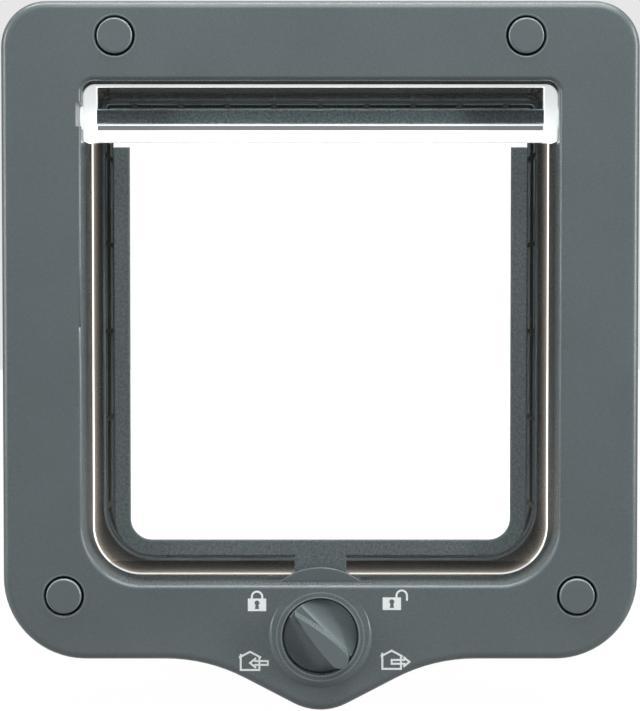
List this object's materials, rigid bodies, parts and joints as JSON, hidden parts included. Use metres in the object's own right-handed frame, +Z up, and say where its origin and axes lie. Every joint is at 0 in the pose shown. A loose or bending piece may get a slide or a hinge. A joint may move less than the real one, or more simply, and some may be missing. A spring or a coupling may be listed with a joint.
{
  "type": "cat flap",
  "caption": "Cat flap with a clear two-way swinging panel, a telescoping door tunnel between two plates, and a rotary four-way lock knob.",
  "frame": {"origin": "centre of the door's rectangular cut-out, in the plane of the door's indoor face, on which the indoor plate's rear rim lies", "axes": "+X to the right seen from indoors, +Y through the door to the outdoors, +Z up"},
  "size_m": [0.225, 0.1089, 0.251],
  "materials": {
    "frame_plastic": "satin slate grey moulding",
    "knob_plastic": "satin slate grey moulding",
    "lock_plastic": "satin slate grey moulding",
    "cap_plastic": "satin slate grey moulding",
    "strip_plastic": "matt spark-textured grey",
    "clear_plastic": "clear polished acrylic",
    "magnet": "nickel plated",
    "screw_steel": "zinc plated"
  },
  "bodies": {
    "frame": {"interior_frame": "frame_plastic", "exterior_frame": "frame_plastic", "lock_cover": "frame_plastic", "sill_magnet": "magnet", "lock_cover_screw_left": "screw_steel", "lock_cover_screw_right": "screw_steel", "frame_screw_top_left": "screw_steel", "screw_cover_top_left": "cap_plastic", "frame_screw_top_right": "screw_steel", "screw_cover_top_right": "cap_plastic", "frame_screw_foot_left": "screw_steel", "screw_cover_foot_left": "cap_plastic", "frame_screw_foot_right": "screw_steel", "screw_cover_foot_right": "cap_plastic"},
    "flap": {"flap_panel": "clear_plastic", "flap_hinge_bar": "strip_plastic", "flap_edge_frame": "strip_plastic", "flap_magnet": "magnet"},
    "lock": {"knob": "knob_plastic", "lock_cam": "lock_plastic", "knob_screw": "screw_steel"}
  },
  "joints": [
    {"name": "flap_swing", "type": "hinge", "parent": "frame", "child": "flap", "pos_m": [0, -0.0085, 0.0771], "axis": [1, 0, 0], "range_deg": [-85, 85]},
    {"name": "lock_turn", "type": "hinge", "parent": "frame", "child": "lock", "pos_m": [0, -0.0085, -0.1073], "axis": [0, 1, 0], "continuous": true}
  ]
}
